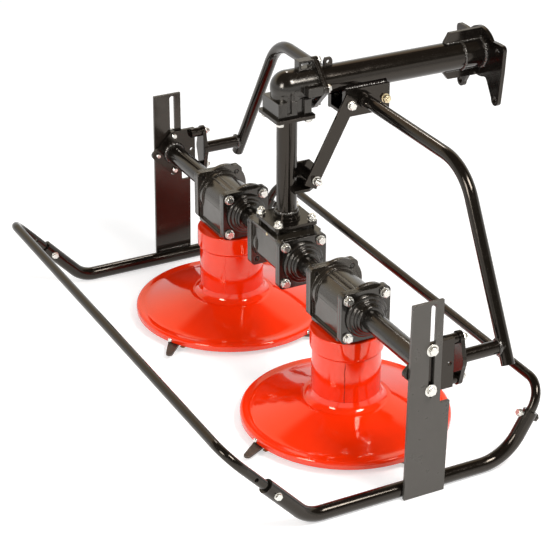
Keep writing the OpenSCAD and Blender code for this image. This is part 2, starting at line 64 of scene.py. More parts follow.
cameraSetup = {
    "place": (2.9170, -1.5364 + beamY, 1.8827),
    "right": (0.45934, 0.88826, 0.00163),
    "up": (-0.40489, 0.20775, 0.89045),
    "back": (0.79061, -0.40969, 0.45507),
    "lens": 122.9,
    "sensor": 36,
    "clipEnd": 60,
}


def aimCamera():
    data = bpy.data.cameras.new("camera")
    camera = bpy.data.objects.new("camera", data)
    bpy.context.scene.collection.objects.link(camera)
    r, u, b, p = (Vector(cameraSetup[key]) for key in ("right", "up", "back", "place"))
    camera.matrix_world = Matrix(((r.x, u.x, b.x, p.x), (r.y, u.y, b.y, p.y), (r.z, u.z, b.z, p.z),
                                  (0, 0, 0, 1)))
    data.lens = cameraSetup["lens"]
    data.sensor_width = cameraSetup["sensor"]
    data.clip_end = cameraSetup["clipEnd"]
    bpy.context.scene.camera = camera


def mathNode(tree, operation, a, b=None, clamp=False):
    made = tree.nodes.new("ShaderNodeMath")
    made.operation = operation
    made.use_clamp = clamp
    for socket, value in zip(made.inputs, (a, b)):
        if value is None:
            continue
        if isinstance(value, (int, float)):
            socket.default_value = value
        else:
            tree.links.new(value, socket)
    return made.outputs[0]


def rampNode(tree, value, stops):
    made = tree.nodes.new("ShaderNodeValToRGB")
    marks = made.color_ramp.elements
    while len(marks) < len(stops):
        marks.new(0.5)
    for mark, (position, colour) in zip(marks, stops):
        mark.position = position
        mark.color = (*colour, 1)
    tree.links.new(value, made.inputs["Fac"])
    return made.outputs["Color"]


studio = {
    "floorSize": 40,
    "floorColour": (0.66, 0.66, 0.66),
    "floorLift": 0.52,       # glow that takes the floor to white where the camera sees it
    "skyLight": 0.46,        # level of the room's light on the object
    "backdrop": (-0.68, 0.26),   # where the backdrop stands, and how much higher it reaches there
    "wallTop": (0.25, 0.33),     # heights, as sines, over which the white walls end
    "ceiling": 0.12,
    "warmWall": ((0.18, (1, 1, 1)), (0.45, (1, 0.90, 0.70)), (0.72, (0.9, 0.64, 0.42))),
    "warm": (1.0, 0.97, 0.935),
    "aimHeight": 0.3,
    "boxes": [               # direction from the object, distance, width, height, power
        ((0.35, -0.81, 0.47), 3.2, 0.9, 1.2, 50),
        ((0.60, 0.24, 0.77), 3.2, 1.0, 1.0, 84),
        ((-0.62, 0.29, 0.73), 3.4, 0.35, 0.4, 9),
    ],
}


def seenOrMirrored(tree):  # 1 for camera, glossy and transmission rays
    path = tree.nodes.new("ShaderNodeLightPath")
    first = tree.nodes.new("ShaderNodeMath")
    first.operation = "MAXIMUM"
    second = tree.nodes.new("ShaderNodeMath")
    second.operation = "MAXIMUM"
    tree.links.new(path.outputs["Is Camera Ray"], first.inputs[0])
    tree.links.new(path.outputs["Is Glossy Ray"], first.inputs[1])
    tree.links.new(first.outputs[0], second.inputs[0])
    tree.links.new(path.outputs["Is Transmission Ray"], second.inputs[1])
    return second.outputs[0]


def makeRoom():
    bm = bmesh.new()
    bmesh.ops.create_grid(bm, x_segments=1, y_segments=1, size=studio["floorSize"] / 2)
    mesh = bpy.data.meshes.new("studioFloor")
    bm.to_mesh(mesh)
    bm.free()
    floor = bpy.data.objects.new("studioFloor", mesh)
    bpy.context.scene.collection.objects.link(floor)
    paleFloor = bpy.data.materials.new("paleFloor")
    paleFloor.use_nodes = True
    tree = paleFloor.node_tree
    shader = tree.nodes["Principled BSDF"]
    shader.inputs["Base Color"].default_value = (*studio["floorColour"], 1)
    shader.inputs["Roughness"].default_value = 0.9
    shader.inputs["Specular IOR Level"].default_value = 0.1
    shader.inputs["Emission Color"].default_value = (1, 1, 1, 1)
    level = tree.nodes.new("ShaderNodeMath")
    level.operation = "MULTIPLY"
    level.inputs[1].default_value = studio["floorLift"]
    tree.links.new(seenOrMirrored(tree), level.inputs[0])
    tree.links.new(level.outputs[0], shader.inputs["Emission Strength"])
    mesh.materials.append(paleFloor)

    world = bpy.data.worlds.new("whiteRoom")
    world.use_nodes = True
    tree = world.node_tree
    direction = tree.nodes.new("ShaderNodeSeparateXYZ")
    tree.links.new(tree.nodes.new("ShaderNodeTexCoord").outputs["Generated"], direction.inputs[0])
    across, along = studio["backdrop"]
    reach = mathNode(tree, "ADD", mathNode(tree, "MULTIPLY", direction.outputs["X"], across),
                     mathNode(tree, "MULTIPLY", direction.outputs["Y"], along), clamp=True)
    level = mathNode(tree, "SUBTRACT", direction.outputs["Z"], reach)
    wallEnd, ceilingStart = studio["wallTop"]
    walls = rampNode(tree, level, ((wallEnd, (1, 1, 1)), (ceilingStart, [studio["ceiling"]] * 3)))
    tint = rampNode(tree, direction.outputs["Z"], studio["warmWall"])
    seen = tree.nodes.new("ShaderNodeMix")
    seen.data_type = "RGBA"
    seen.blend_type = "MULTIPLY"
    seen.inputs["Factor"].default_value = 1
    tree.links.new(walls, seen.inputs["A"])
    tree.links.new(tint, seen.inputs["B"])
    room = tree.nodes.new("ShaderNodeMix")
    room.data_type = "RGBA"
    room.inputs["A"].default_value = (*[studio["skyLight"]] * 3, 1)
    tree.links.new(seenOrMirrored(tree), room.inputs["Factor"])
    tree.links.new(seen.outputs["Result"], room.inputs["B"])
    tree.links.new(room.outputs["Result"], tree.nodes["Background"].inputs["Color"])
    bpy.context.scene.world = world

    for number, (towards, distance, width, height, power) in enumerate(studio["boxes"]):
        data = bpy.data.lights.new("softBox" + str(number), "AREA")
        data.shape = "RECTANGLE"
        data.size = width
        data.size_y = height
        data.energy = power
        data.color = studio["warm"]
        lamp = bpy.data.objects.new("softBox" + str(number), data)
        bpy.context.scene.collection.objects.link(lamp)
        lamp.location = Vector((0, 0, studio["aimHeight"])) + Vector(towards).normalized() * distance
        lamp.rotation_euler = (-Vector(towards)).to_track_quat("-Z", "Y").to_euler()
    bpy.context.scene.view_settings.view_transform = "Standard"


aimCamera()
makeRoom()
print("camera, floor and light ready")


def newGroup(name, inputs):
    group = bpy.data.node_groups.new(name, "ShaderNodeTree")
    for socket, kind, value in inputs:
        made = group.interface.new_socket(name=socket, in_out="INPUT", socket_type=kind)
        if value is not None:
            made.default_value = value
    return group, group.nodes.new("NodeGroupInput"), group.nodes.new("NodeGroupOutput")


def noiseNode(tree, vector, scale, detail=3.0, rough=0.55):
    made = tree.nodes.new("ShaderNodeTexNoise")
    made.inputs["Detail"].default_value = detail
    made.inputs["Roughness"].default_value = rough
    tree.links.new(vector, made.inputs["Vector"])
    if isinstance(scale, (int, float)):
        made.inputs["Scale"].default_value = scale
    else:
        tree.links.new(scale, made.inputs["Scale"])
    return made.outputs["Fac"]


def buildSkin():  # fine grain of a surface and slow waves in its sheet, as one height
    group, entry, leave = newGroup("surfaceSkin", [
        ("Vector", "NodeSocketVector", None), ("Grain Scale", "NodeSocketFloat", 900.0),
        ("Grain Height", "NodeSocketFloat", 0.02), ("Wave Scale", "NodeSocketFloat", 9.0),
        ("Wave Height", "NodeSocketFloat", 0.0)])
    group.interface.new_socket(name="Height", in_out="OUTPUT", socket_type="NodeSocketFloat")
    grain = noiseNode(group, entry.outputs["Vector"], entry.outputs["Grain Scale"], 2.0)
    wave = noiseNode(group, entry.outputs["Vector"], entry.outputs["Wave Scale"], 1.0, 0.4)
    total = mathNode(group, "ADD", mathNode(group, "MULTIPLY", grain, entry.outputs["Grain Height"]),
                     mathNode(group, "MULTIPLY", wave, entry.outputs["Wave Height"]))
    group.links.new(total, leave.inputs["Height"])
    return group


def buildSpecks():  # dust and small chips: scattered points, thicker in patches
    group, entry, leave = newGroup("shopDust", [
        ("Vector", "NodeSocketVector", None), ("Size", "NodeSocketFloat", 220.0),
        ("Amount", "NodeSocketFloat", 0.1)])
    group.interface.new_socket(name="Mask", in_out="OUTPUT", socket_type="NodeSocketFloat")
    cells = group.nodes.new("ShaderNodeTexVoronoi")
    group.links.new(entry.outputs["Vector"], cells.inputs["Vector"])
    group.links.new(entry.outputs["Size"], cells.inputs["Scale"])
    patches = noiseNode(group, entry.outputs["Vector"], 14.0, 3.0)
    reach = mathNode(group, "MULTIPLY", patches, entry.outputs["Amount"])
    point = mathNode(group, "SUBTRACT", reach, cells.outputs["Distance"])
    group.links.new(mathNode(group, "MULTIPLY", point, 9.0, clamp=True), leave.inputs["Mask"])
    return group


def buildEdgeWearAndHighlights():  # rubbed edges, part real wear and part painted highlight, from how far the rounded normal leans off the flat one
    group, entry, leave = newGroup("rubbedEdgesAndHighlights", [
        ("Vector", "NodeSocketVector", None), ("Rounded", "NodeSocketVector", None),
        ("Amount", "NodeSocketFloat", 0.5)])
    group.interface.new_socket(name="Mask", in_out="OUTPUT", socket_type="NodeSocketFloat")
    flat = group.nodes.new("ShaderNodeNewGeometry")
    dot = group.nodes.new("ShaderNodeVectorMath")
    dot.operation = "DOT_PRODUCT"
    group.links.new(entry.outputs["Rounded"], dot.inputs[0])
    group.links.new(flat.outputs["Normal"], dot.inputs[1])
    lean = mathNode(group, "SUBTRACT", 1.0, dot.outputs["Value"], clamp=True)
    broken = noiseNode(group, entry.outputs["Vector"], 55.0, 4.0, 0.7)
    mask = mathNode(group, "MULTIPLY", mathNode(group, "MULTIPLY", lean, 7.0, clamp=True),
                    mathNode(group, "MULTIPLY", broken, entry.outputs["Amount"]), clamp=True)
    group.links.new(mask, leave.inputs["Mask"])
    return group


skinGroup = buildSkin()
speckGroup = buildSpecks()
edgeWearAndHighlightGroup = buildEdgeWearAndHighlights()

# rough: least and most; grain, wave: scale and height; specks: scale and amount; round: edge radius in metres
# edge colour: rubbed edge wear, and also a painted highlight along the rounded edges
finishes = {
    "frameGloss": {
        "slot": "gloss_black_paint", "colour": (0.003, 0.0026, 0.0023),
        "second": (0.0062, 0.005, 0.004), "rough": (0.09, 0.17), "grain": (700, 0.008),
        "wave": (16, 0.3), "specks": (260, 0.3), "speckColour": (0.035, 0.031, 0.028), "edge": 0.2,
        "edgeWearAndHighlightColour": (0.07, 0.058, 0.045), "round": 0.0012, "shine": 0.48, "tint": (1, 0.88, 0.76)},
    "castGloss": {
        "slot": "gloss_black_paint", "colour": (0.0035, 0.003, 0.0026),
        "second": (0.0085, 0.007, 0.0055), "rough": (0.1, 0.22), "grain": (380, 0.045),
        "wave": (28, 0.45), "specks": (240, 0.3), "speckColour": (0.06, 0.052, 0.045), "edge": 0.3,
        "edgeWearAndHighlightColour": (0.11, 0.095, 0.078), "round": 0.0022, "shine": 0.7, "tint": (1, 0.95, 0.88)},
    "bodyGloss": {
        "slot": "gloss_black_paint", "colour": (0.0095, 0.0082, 0.0068),
        "second": (0.022, 0.018, 0.013), "rough": (0.12, 0.24), "grain": (380, 0.05), "wave": (28, 0.5),
        "specks": (240, 0.3), "speckColour": (0.08, 0.07, 0.06), "edge": 0.3,
        "edgeWearAndHighlightColour": (0.11, 0.095, 0.078), "round": 0.0022, "shine": 1.0, "tint": (1, 0.94, 0.86)},
    "plateSatin": {
        "slot": "satin_black_paint", "colour": (0.044, 0.041, 0.037), "second": (0.056, 0.052, 0.047),
        "rough": (0.26, 0.38), "grain": (520, 0.02), "wave": (11, 0.7), "specks": (170, 0.22),
        "speckColour": (0.15, 0.14, 0.13), "edge": 0.32, "edgeWearAndHighlightColour": (0.15, 0.14, 0.13),
        "round": 0.001, "shine": 0.6, "tint": (1, 0.95, 0.88)},
    "plateGloss": {
        "slot": "satin_black_paint", "colour": (0.012, 0.0095, 0.008), "second": (0.02, 0.016, 0.013),
        "rough": (0.1, 0.18), "grain": (520, 0.012), "wave": (11, 0.6), "specks": (170, 0.22),
        "speckColour": (0.06, 0.055, 0.05), "edge": 0.32, "edgeWearAndHighlightColour": (0.1, 0.09, 0.08),
        "round": 0.001, "shine": 0.6, "tint": (1, 0.92, 0.82)},
    "drumRed": {
        "slot": "orange_red_paint", "colour": (0.96, 0.032, 0.0018), "second": (0.92, 0.026, 0.0015),
        "rough": (0.05, 0.1), "grain": (600, 0.005), "wave": (9, 1.3), "specks": (200, 0.16),
        "speckColour": (0.9, 0.2, 0.1), "edge": 0.2, "edgeWearAndHighlightColour": (0.95, 0.12, 0.05), "round": 0.0012,
        "shine": 0.85, "tint": (1, 0.94, 0.78)},
    "seamShade": {
        "slot": "orange_red_paint", "colour": (0.62, 0.02, 0.003), "second": (0.3, 0.012, 0.002),
        "rough": (0.12, 0.3), "grain": (500, 0.05), "wave": (90, 0.8), "specks": (240, 0.3),
        "speckColour": (0.8, 0.12, 0.03), "edge": 0.2, "edgeWearAndHighlightColour": (0.86, 0.1, 0.05), "round": 0.0004,
        "shine": 0.55, "tint": (1, 0.84, 0.62)},
    "knifeSteel": {
        "slot": "knife_steel", "colour": (0.115, 0.092, 0.075), "second": (0.055, 0.045, 0.038),
        "rough": (0.35, 0.6), "grain": (900, 0.1), "wave": (30, 0.5), "specks": (300, 0.4),
        "speckColour": (0.22, 0.13, 0.07), "edge": 0.8, "edgeWearAndHighlightColour": (0.45, 0.42, 0.38),
        "round": 0.0006, "metal": 0.75, "shine": 0.5, "tint": (1, 1, 1)},
    "springSteel": {
        "slot": "knife_steel", "colour": (0.3, 0.185, 0.075), "second": (0.16, 0.1, 0.05),
        "rough": (0.35, 0.6), "grain": (900, 0.1), "wave": (30, 0.5), "specks": (300, 0.4),
        "speckColour": (0.22, 0.13, 0.07), "edge": 0.8, "edgeWearAndHighlightColour": (0.45, 0.42, 0.38),
        "round": 0.0006, "metal": 0.75, "shine": 0.5, "tint": (1, 1, 1)},
    "turnedSteel": {
        "slot": "bare_steel", "colour": (0.42, 0.41, 0.39), "second": (0.33, 0.31, 0.28),
        "rough": (0.24, 0.42), "grain": (1400, 0.05), "wave": (20, 0.2), "specks": (260, 0.3),
        "speckColour": (0.24, 0.15, 0.09), "edge": 0.5, "edgeWearAndHighlightColour": (0.6, 0.58, 0.55),
        "round": 0.0006, "metal": 0.9, "shine": 0.5, "tint": (1, 1, 1)},
    "zincPlate": {
        "slot": "bare_steel", "colour": (0.8, 0.79, 0.76), "second": (0.66, 0.64, 0.58),
        "rough": (0.16, 0.32), "grain": (1500, 0.03), "wave": (60, 0.3), "specks": (400, 0.25),
        "speckColour": (0.42, 0.38, 0.32), "edge": 0.3, "edgeWearAndHighlightColour": (0.95, 0.94, 0.92),
        "round": 0.0004, "metal": 0.9, "shine": 0.5, "tint": (1, 1, 1)},
    "yellowZinc": {
        "slot": "bare_steel", "colour": (0.8, 0.66, 0.36), "second": (0.72, 0.64, 0.48),
        "rough": (0.2, 0.34), "grain": (1500, 0.03), "wave": (60, 0.3), "specks": (400, 0.3),
        "speckColour": (0.3, 0.2, 0.12), "edge": 0.3, "edgeWearAndHighlightColour": (0.9, 0.82, 0.62), "round": 0.0004,
        "metal": 0.85, "shine": 0.5, "tint": (1, 1, 1)},
    "sealant": {
        "slot": "gloss_black_paint", "colour": (0.3, 0.27, 0.04), "second": (0.08, 0.075, 0.03),
        "rough": (0.2, 0.4), "grain": (400, 0.1), "wave": (90, 1.0), "specks": (240, 0.3),
        "speckColour": (0.45, 0.42, 0.15), "edge": 0.2, "edgeWearAndHighlightColour": (0.5, 0.46, 0.2), "round": 0.0005,
        "shine": 0.5, "tint": (1, 1, 1)},
    "weldBead": {
        "slot": "gloss_black_paint", "colour": (0.008, 0.007, 0.006), "second": (0.028, 0.025, 0.021),
        "rough": (0.1, 0.24), "grain": (300, 0.12), "wave": (120, 1.2), "specks": (260, 0.4),
        "speckColour": (0.2, 0.19, 0.18), "edge": 0.3, "edgeWearAndHighlightColour": (0.16, 0.15, 0.14),
        "round": 0.0005, "shine": 1.0, "tint": (1, 0.97, 0.93)},
}


def makeFinish(name):
    look = finishes[name]
    material = bpy.data.materials.new(name)
    material.use_nodes = True
    tree = material.node_tree
    shader = tree.nodes["Principled BSDF"]
    shader.inputs["Metallic"].default_value = look.get("metal", 0.0)
    shader.inputs["Specular IOR Level"].default_value = look["shine"]
    shader.inputs["Specular Tint"].default_value = (*look["tint"], 1)
    where = tree.nodes.new("ShaderNodeTexCoord").outputs["Object"]

    patches = tree.nodes.new("ShaderNodeMix")  # slow colour change over the piece
    patches.data_type = "RGBA"
    patches.inputs["A"].default_value = (*look["colour"], 1)
    patches.inputs["B"].default_value = (*look["second"], 1)
    slow = noiseNode(tree, where, 18.0, 5.0, 0.65)
    tree.links.new(slow, patches.inputs["Factor"])

    bevel = tree.nodes.new("ShaderNodeBevel")
    bevel.samples = 4
    bevel.inputs["Radius"].default_value = look["round"]

    # lighter colour along the edges: part rubbed wear, part painted highlight
    edges = tree.nodes.new("ShaderNodeGroup")
    edges.node_tree = edgeWearAndHighlightGroup
    edges.inputs["Amount"].default_value = look["edge"]
    tree.links.new(where, edges.inputs["Vector"])
    tree.links.new(bevel.outputs["Normal"], edges.inputs["Rounded"])
    rubbedAndHighlighted = tree.nodes.new("ShaderNodeMix")
    rubbedAndHighlighted.data_type = "RGBA"
    rubbedAndHighlighted.inputs["B"].default_value = (*look["edgeWearAndHighlightColour"], 1)
    tree.links.new(patches.outputs["Result"], rubbedAndHighlighted.inputs["A"])
    tree.links.new(edges.outputs["Mask"], rubbedAndHighlighted.inputs["Factor"])

    dust = tree.nodes.new("ShaderNodeGroup")
    dust.node_tree = speckGroup
    dust.inputs["Size"].default_value = look["specks"][0]
    dust.inputs["Amount"].default_value = look["specks"][1]
    tree.links.new(where, dust.inputs["Vector"])
    dusty = tree.nodes.new("ShaderNodeMix")
    dusty.data_type = "RGBA"
    dusty.inputs["B"].default_value = (*look["speckColour"], 1)
    tree.links.new(rubbedAndHighlighted.outputs["Result"], dusty.inputs["A"])
    tree.links.new(dust.outputs["Mask"], dusty.inputs["Factor"])
    tree.links.new(dusty.outputs["Result"], shader.inputs["Base Color"])

    sheen = tree.nodes.new("ShaderNodeMapRange")
    sheen.inputs["From Min"].default_value = 0.3
    sheen.inputs["From Max"].default_value = 0.7
    sheen.inputs["To Min"].default_value = look["rough"][0]
    sheen.inputs["To Max"].default_value = look["rough"][1]
    tree.links.new(noiseNode(tree, where, 42.0, 4.0), sheen.inputs["Value"])
    tree.links.new(sheen.outputs["Result"], shader.inputs["Roughness"])

    skin = tree.nodes.new("ShaderNodeGroup")
    skin.node_tree = skinGroup
    sockets = ("Grain Scale", "Grain Height", "Wave Scale", "Wave Height")
    for socket, value in zip(sockets, look["grain"] + look["wave"]):
        skin.inputs[socket].default_value = value
    tree.links.new(where, skin.inputs["Vector"])
    bump = tree.nodes.new("ShaderNodeBump")
    bump.inputs["Strength"].default_value = 1.0
    bump.inputs["Distance"].default_value = 0.001
    tree.links.new(skin.outputs["Height"], bump.inputs["Height"])
    tree.links.new(bevel.outputs["Normal"], bump.inputs["Normal"])
    tree.links.new(bump.outputs["Normal"], shader.inputs["Normal"])
    return material


paints = {name: makeFinish(name) for name in finishes}
finishOf = [  # first match of the node's name
    ("drum", "drumRed"), ("disc", "drumRed"), ("knives", "knifeSteel"), ("skid", "turnedSteel"),
    ("rotor_shaft", "turnedSteel"), ("input", "turnedSteel"), ("swath_plate_left", "plateSatin"),
    ("swath_plate_right", "plateGloss"), ("centre_housing", "bodyGloss"), ("rotor_housing", "bodyGloss"),
    ("elbow", "castGloss"), ("beam_link", "castGloss"), ("end_tube", "castGloss"), ("", "frameGloss")]
for name, piece in nodes.items():
    finish = next(look for start, look in finishOf if name.startswith(start))
    piece.data.materials.clear()
    piece.data.materials.append(paints[finish])
print("finishes made:", len(paints))


boltSizes = {"washer": 0.0097, "washerHigh": 0.0018, "flats": 0.0077, "headHigh": 0.0062, "nutHigh": 0.0076,
             "stub": 0.0044, "stubHigh": 0.0056, "threads": 4}


def edgesOf(verts):  # each edge once, always in the same order
    return list(dict.fromkeys(edge for vert in verts for edge in vert.link_edges))


def addRound(bm, at, low, high, r1, r2=None, sides=32, bevel=0.0, turn=0.0, caps=True):
    matrix = at @ Matrix.Translation((0, 0, (low + high) / 2)) @ Matrix.Rotation(turn, 4, "Z")
    made = bmesh.ops.create_cone(bm, cap_ends=caps, cap_tris=False, segments=sides, radius1=r1,
                                 radius2=r1 if r2 is None else r2, depth=high - low, matrix=matrix)
    if bevel:
        rims = [edge for edge in edgesOf(made["verts"]) if len(edge.link_faces) == 2 and
                max(len(face.verts) for face in edge.link_faces) > 4]
        bmesh.ops.bevel(bm, geom=rims, offset=bevel, segments=2, profile=0.5, affect="EDGES", material=-1)
    return made["verts"]


def addHex(bm, at, low, high, flats, turn):
    corner = flats / math.cos(math.pi / 6)
    addRound(bm, at, low, high, corner, sides=6, bevel=0.0005, turn=turn)
    addRound(bm, at, high - 0.0006, high + 0.0006, flats * 0.97, flats * 0.84, sides=24)


def addThreads(bm, at, base, length, radius):  # one closed bar with ridges
    core = radius * 0.88
    count = max(2, round(length / boltSizes["stubHigh"] * boltSizes["threads"]))
    step = length / count
    for ring in range(count):
        low = base + ring * step
        addRound(bm, at, low, low + step * 0.55, core, radius, sides=20, caps=False)
        addRound(bm, at, low + step * 0.55, low + step, radius, core, sides=20, caps=False)
    for high in (base, base + length):
        bmesh.ops.create_circle(bm, cap_ends=True, segments=20, radius=core,
                                matrix=at @ Matrix.Translation((0, 0, high)))


def addBolt(bm, place, direction, kind, turn=0.3, scale=1.0, stub=None, washer=None):
    size = {key: value * scale for key, value in boltSizes.items()}
    at = frameAt(place, direction)
    if kind == "end":  # bare end of a bolt
        addThreads(bm, at, 0, stub or size["stubHigh"], size["stub"] * 1.1)
        return
    top = size["washerHigh"]
    addRound(bm, at, 0, top, washer or size["washer"], bevel=0.0004)
    if kind == "head":
        addHex(bm, at, top, top + size["headHigh"], size["flats"], turn)
        return
    addHex(bm, at, top, top + size["nutHigh"], size["flats"], turn)
    addThreads(bm, at, top + size["nutHigh"], stub or size["stubHigh"], size["stub"])


def finishPiece(name, bm, look, body, smooth=38):
    bmesh.ops.remove_doubles(bm, verts=bm.verts, dist=0.000005)
    bmesh.ops.recalc_face_normals(bm, faces=bm.faces)
    for face in bm.faces:
        face.smooth = True
    mesh = bpy.data.meshes.new(name)
    bm.to_mesh(mesh)
    bm.free()
    mesh.set_sharp_from_angle(angle=math.radians(smooth))
    mesh.materials.append(paints[look])
    piece = bpy.data.objects.new(name, mesh)
    bpy.context.scene.collection.objects.link(piece)
    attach(piece, body)
    return piece


def boltSet(name, bolts, look="zincPlate", body="frame"):  # each bolt: place, direction, kind, scale, stub
    bm = bmesh.new()
    for number, (place, direction, kind, *more) in enumerate(bolts):
        addBolt(bm, place, direction, kind, 0.3 + number * 0.41, *more)
    return finishPiece(name, bm, look, body)


rotorMm = rotorX * 1000
beamMm = beamZ * 1000
driveMm = driveZ * 1000


def roundCorners(points, steps=6):  # each point: radius, height, rounding, in millimetres
    soft = []
    for number, (x, y, size) in enumerate(points):
        corner = Vector((x, y))
        if not size:
            soft.append(corner)
            continue
        before = Vector(points[number - 1][:2]) - corner
        after = Vector(points[(number + 1) % len(points)][:2]) - corner
        start = corner + before.normalized() * min(size, before.length * 0.48)
        end = corner + after.normalized() * min(size, after.length * 0.48)
        for step in range(steps + 1):
            t = step / steps
            soft.append(start * (1 - t) ** 2 + corner * 2 * t * (1 - t) + end * t ** 2)
    return soft


# radius, distance from the plate and rounding, in millimetres
hubShape = [(19.6, 0, 0), (43, 0, 0), (42.6, 5, 3), (39, 7.2, 2), (35.4, 7.2, 1.5), (33.8, 11.2, 3),
            (29.8, 11.6, 2.5), (28.4, 14, 2), (27.8, 21.6, 4), (22.5, 22.6, 2), (19.6, 22.9, 0)]


def addHub(bm, place, direction, steps=72):
    hub = bmesh.new()
    ring = [hub.verts.new((point.x / 1000, 0, point.y / 1000)) for point in roundCorners(hubShape)]
    edges = [hub.edges.new((a, b)) for a, b in zip(ring, ring[1:] + ring[:1])]
    bmesh.ops.spin(hub, geom=ring + edges, angle=2 * math.pi, steps=steps, axis=(0, 0, 1), cent=(0, 0, 0),
                   use_merge=True)
    bmesh.ops.transform(hub, matrix=frameAt(place, direction), verts=hub.verts)
    spare = bpy.data.meshes.new("spare")
    hub.to_mesh(spare)
    bm.from_mesh(spare)
    hub.free()
    bpy.data.meshes.remove(spare)


gearboxBolts = {"half": 38.25, "face": 68, "flangeInner": 52, "shank": 4.9, "shankFrom": 0.0006,
                "shankTo": 0.012, "shankBevel": 0.0008}
hubs = bmesh.new()
for centre in (rotorMm, 0, -rotorMm):
    for side in (-1, 1):
        addHub(hubs, spot(centre + side * gearboxBolts["face"], 0, beamMm), (side, 0, 0))
finishPiece("tubeHubs", hubs, "castGloss", "frame")

half = gearboxBolts["half"]
for label, centre in (("Left", rotorMm), ("Centre", 0), ("Right", -rotorMm)):
    places = [(side, dy, dz) for side in (-1, 1) for dy in (-half, half) for dz in (-half, half)]
    boltSet("gearbox" + label + "Bolts",
            [(spot(centre + side * gearboxBolts["face"], dy, beamMm + dz), (side, 0, 0), "head")
             for side, dy, dz in places])
    shanks = bmesh.new()
    for side, dy, dz in places:  # ends of the bolts, flush with the flanges
        at = frameAt(spot(centre + side * gearboxBolts["flangeInner"], dy, beamMm + dz), (side, 0, 0))
        addRound(shanks, at, gearboxBolts["shankFrom"], gearboxBolts["shankTo"], gearboxBolts["shank"] / 1000,
                 sides=24, bevel=gearboxBolts["shankBevel"])
    finishPiece("gearbox" + label + "BoltEnds", shanks, "castGloss", "frame")

columnBolts = {"footHalf": 36.5, "footTop": 326, "lidTop": 309, "topHalf": 30, "topUnder": 538, "stub": 0.0042,
               "footScale": 0.94, "topScale": 0.9, "studHigh": 0.010, "studRadius": 0.0049}
foot = columnBolts["footHalf"]
top = columnBolts["topHalf"]
corners = [(sx, sy) for sx in (-1, 1) for sy in (-1, 1)]
boltSet("columnFootBolts", [(spot(sx * foot, sy * foot, columnBolts["footTop"]), (0, 0, 1), "nut",
                             columnBolts["footScale"], columnBolts["stub"]) for sx, sy in corners])
boltSet("columnTopBolts", [(spot(sx * top, sy * top, columnBolts["topUnder"]), (0, 0, -1), "head",
                            columnBolts["topScale"]) for sx, sy in corners])
studs = bmesh.new()
for sx, sy in corners:
    addRound(studs, frameAt(spot(sx * foot, sy * foot, columnBolts["lidTop"]), (0, 0, 1)), 0,
             columnBolts["studHigh"], columnBolts["studRadius"], sides=20)
finishPiece("columnFootStuds", studs, "castGloss", "frame")

neckBolts = {"out": 42.43, "rear": 62, "scale": 0.88}
out = neckBolts["out"]
boltSet("neckBolts", [(spot(dx * out, neckBolts["rear"], driveMm + dz * out), (0, 1, 0), "head",
                       neckBolts["scale"]) for dx, dz in ((0, 1), (1, 0), (0, -1), (-1, 0))])

strutBolts = {"outer": 39, "footOuter": 34, "low": (44, 408), "high": (118, 549), "rear": (195, 549),
              "scale": 0.95, "lowStub": 0.0085, "rearStub": 0.004}
here = strutBolts
boltSet("strutBolts", [(spot(here["outer"], *here["low"]), (1, 0, 0), "nut", here["scale"], here["lowStub"]),
                       (spot(here["outer"], *here["high"]), (1, 0, 0), "head", here["scale"]),
                       (spot(-here["footOuter"], *here["high"]), (-1, 0, 0), "nut"),
                       (spot(-here["footOuter"], *here["rear"]), (-1, 0, 0), "nut"),
                       (spot(-here["footOuter"], *here["low"]), (-1, 0, 0), "head")])
boltSet("saddleBolt", [(spot(here["footOuter"], *here["rear"]), (1, 0, 0), "nut", here["scale"],
                        here["rearStub"])], look="yellowZinc")

endBolts = {"slots": (298, 218), "plateOuter": 540, "plateMiddle": 0.5, "slotScale": 1.0, "slotWasher": 0.0118,
            "bracketInner": 526, "endLong": 0.007, "tip": -38, "tipScale": 0.9, "armX": 522, "armRear": 70,
            "armScale": 0.86}
here = endBolts
for label, side in (("Left", 1), ("Right", -1)):
    boltSet("swath" + label + "Bolts",
            [(spot(side * here["plateOuter"], here["plateMiddle"], z), (side, 0, 0), "head", here["slotScale"],
              None, here["slotWasher"]) for z in here["slots"]])
    inner = side * here["bracketInner"]
    boltSet("bracket" + label + "BoltEnds",
            [(spot(inner, 0, z), (-side, 0, 0), "end", 1.0, here["endLong"]) for z in here["slots"]]
            + [(spot(inner, here["tip"], beamMm), (-side, 0, 0), "end", here["tipScale"])])
    boltSet("arm" + label + "Nuts", [(spot(side * here["armX"], here["armRear"], z), (0, 1, 0), "nut",
                                      here["armScale"]) for z in here["slots"]])

sleeveBolts = {"front": (-294.5, 84.1), "railX": 520, "railR": 14, "scale": 0.76,
               "rear": (226.9, 93.7), "pinDir": (0, 0.8666, -0.499), "headOut": 21, "sink": 0.6,
               "pinFrom": 0.010, "pinRadius": 0.0039, "blockOut": 12.5, "blockHalf": 7, "blockHigh": 0.0085}
here = sleeveBolts
pinDir = Vector(here["pinDir"])
for label, side in (("Left", 1), ("Right", -1)):
    wall = here["railR"] - here["sink"]
    outer = spot(side * here["railX"] + wall, *here["front"])
    inner = spot(side * here["railX"] - wall, *here["front"])
    rear = spot(side * here["railX"], *here["rear"])
    boltSet("sleeve" + label + "Bolts", [
        (outer, (1, 0, 0), "head", here["scale"]), (inner, (-1, 0, 0), "nut", here["scale"]),
        (rear - pinDir * here["headOut"] / 1000, -pinDir, "head", here["scale"])])
    pin = bmesh.new()
    addRound(pin, frameAt(rear, -pinDir), here["pinFrom"], here["headOut"] / 1000 + 0.0005, here["pinRadius"],
             sides=24)
    finishPiece("sleeve" + label + "Shank", pin, "zincPlate", "frame")
    block = bmesh.new()
    at = frameAt(rear + pinDir * here["blockOut"] / 1000, pinDir)
    addHex(block, at, 0, here["blockHigh"], here["blockHalf"] / 1000, 0.2)
    finishPiece("sleeve" + label + "Nut", block, "frameGloss", "frame")

